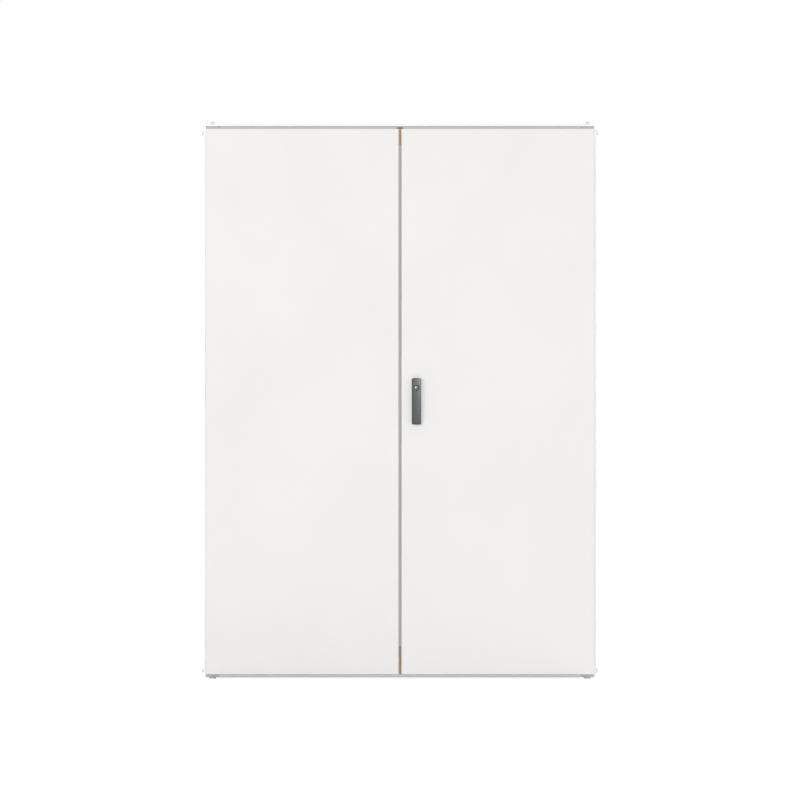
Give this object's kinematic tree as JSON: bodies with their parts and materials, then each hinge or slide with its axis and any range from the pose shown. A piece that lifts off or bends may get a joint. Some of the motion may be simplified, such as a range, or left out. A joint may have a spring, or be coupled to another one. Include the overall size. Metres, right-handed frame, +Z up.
{
  "type": "two-door distribution cabinet",
  "caption": "Floor-standing double-door distribution cabinet with a bolted frame, sheet panels, a swing handle and rack-driven lock rods.",
  "frame": {"origin": "on the floor under the centre of the overall box, the foot bolts resting at z = 0", "axes": "+X across the doors to the right as seen from the front, +Y from the doors to the back, +Z up"},
  "size_m": [1.36, 0.4266, 1.915],
  "materials": {
    "body_paint": "fine powder coat, white",
    "door_paint": "fine powder coat, warm light grey",
    "frame_paint": "powder coat, light grey",
    "cast_corner": "painted casting, light grey",
    "zinc_steel": "bright zinc plated",
    "yellow_zinc": "yellow passivated zinc",
    "black_rubber": "closed-cell foam seal",
    "grey_plastic": "moulded, matt",
    "handle_grey": "satin dark grey",
    "chrome_lock": "polished"
  },
  "bodies": {
    "cabinet": {"bottom_rail_front": "frame_paint", "bottom_rail_back": "frame_paint", "bottom_rail_left": "frame_paint", "bottom_rail_right": "frame_paint", "top_rail_front": "frame_paint", "top_rail_back": "frame_paint", "top_rail_left": "frame_paint", "top_rail_right": "frame_paint", "post_front_left": "frame_paint", "post_front_right": "frame_paint", "post_back_left": "frame_paint", "post_back_right": "frame_paint", "corner_blocks_bottom": "cast_corner", "corner_blocks_top": "cast_corner", "foot_bolts": "zinc_steel", "roof_bolts": "zinc_steel", "side_panel_left": "body_paint", "side_panel_right": "body_paint", "back_panel": "body_paint", "roof_panel": "body_paint", "panel_screws": "zinc_steel", "floor_plates": "zinc_steel", "centre_mullion": "frame_paint", "mullion_brackets": "yellow_zinc", "door_buffer_top": "black_rubber", "door_buffer_bottom": "grey_plastic", "hinge_arms_left": "zinc_steel", "hinge_arms_right": "zinc_steel"},
    "left_door": {"left_door_leaf": "door_paint", "left_door_gasket": "black_rubber", "left_door_braces": "door_paint", "left_door_hinges": "zinc_steel"},
    "right_door": {"right_door_leaf": "door_paint", "right_door_gasket": "black_rubber", "right_door_braces": "door_paint", "right_door_hinges": "zinc_steel", "handle_base": "handle_grey", "lock_cylinder": "chrome_lock", "lock_case": "zinc_steel", "rod_guides": "grey_plastic"},
    "spindle": {"handle_spindle": "zinc_steel", "lever_pin": "zinc_steel"},
    "lever": {"handle_lever": "handle_grey"},
    "upper_lock_rod": {"upper_rod": "zinc_steel"},
    "lower_lock_rod": {"lower_rod": "zinc_steel"}
  },
  "joints": [
    {"name": "left_door_hinge", "type": "hinge", "parent": "cabinet", "child": "left_door", "pos_m": [-0.66, -0.1827, 0.95], "axis": [0, 0, -1], "range_deg": [0, 130]},
    {"name": "right_door_hinge", "type": "hinge", "parent": "cabinet", "child": "right_door", "pos_m": [0.66, -0.1827, 0.95], "axis": [0, 0, 1], "range_deg": [0, 130]},
    {"name": "handle_turn", "type": "hinge", "parent": "right_door", "child": "spindle", "pos_m": [0.057, -0.2017, 0.887], "axis": [0, 1, 0], "range_deg": [0, 90]},
    {"name": "lever_lift", "type": "hinge", "parent": "spindle", "child": "lever", "pos_m": [0.057, -0.2017, 0.887], "axis": [1, 0, 0], "range_deg": [0, 35]},
    {"name": "upper_rod_slide", "type": "slide", "parent": "right_door", "child": "upper_lock_rod", "axis": [0, 0, -1], "range_m": [0, 0.01886]},
    {"name": "lower_rod_slide", "type": "slide", "parent": "right_door", "child": "lower_lock_rod", "axis": [0, 0, 1], "range_m": [0, 0.01886]}
  ],
  "couplings": [
    {"joint": "upper_rod_slide", "follows": "handle_turn", "m_per_rad": 0.012},
    {"joint": "lower_rod_slide", "follows": "handle_turn", "m_per_rad": 0.012}
  ]
}
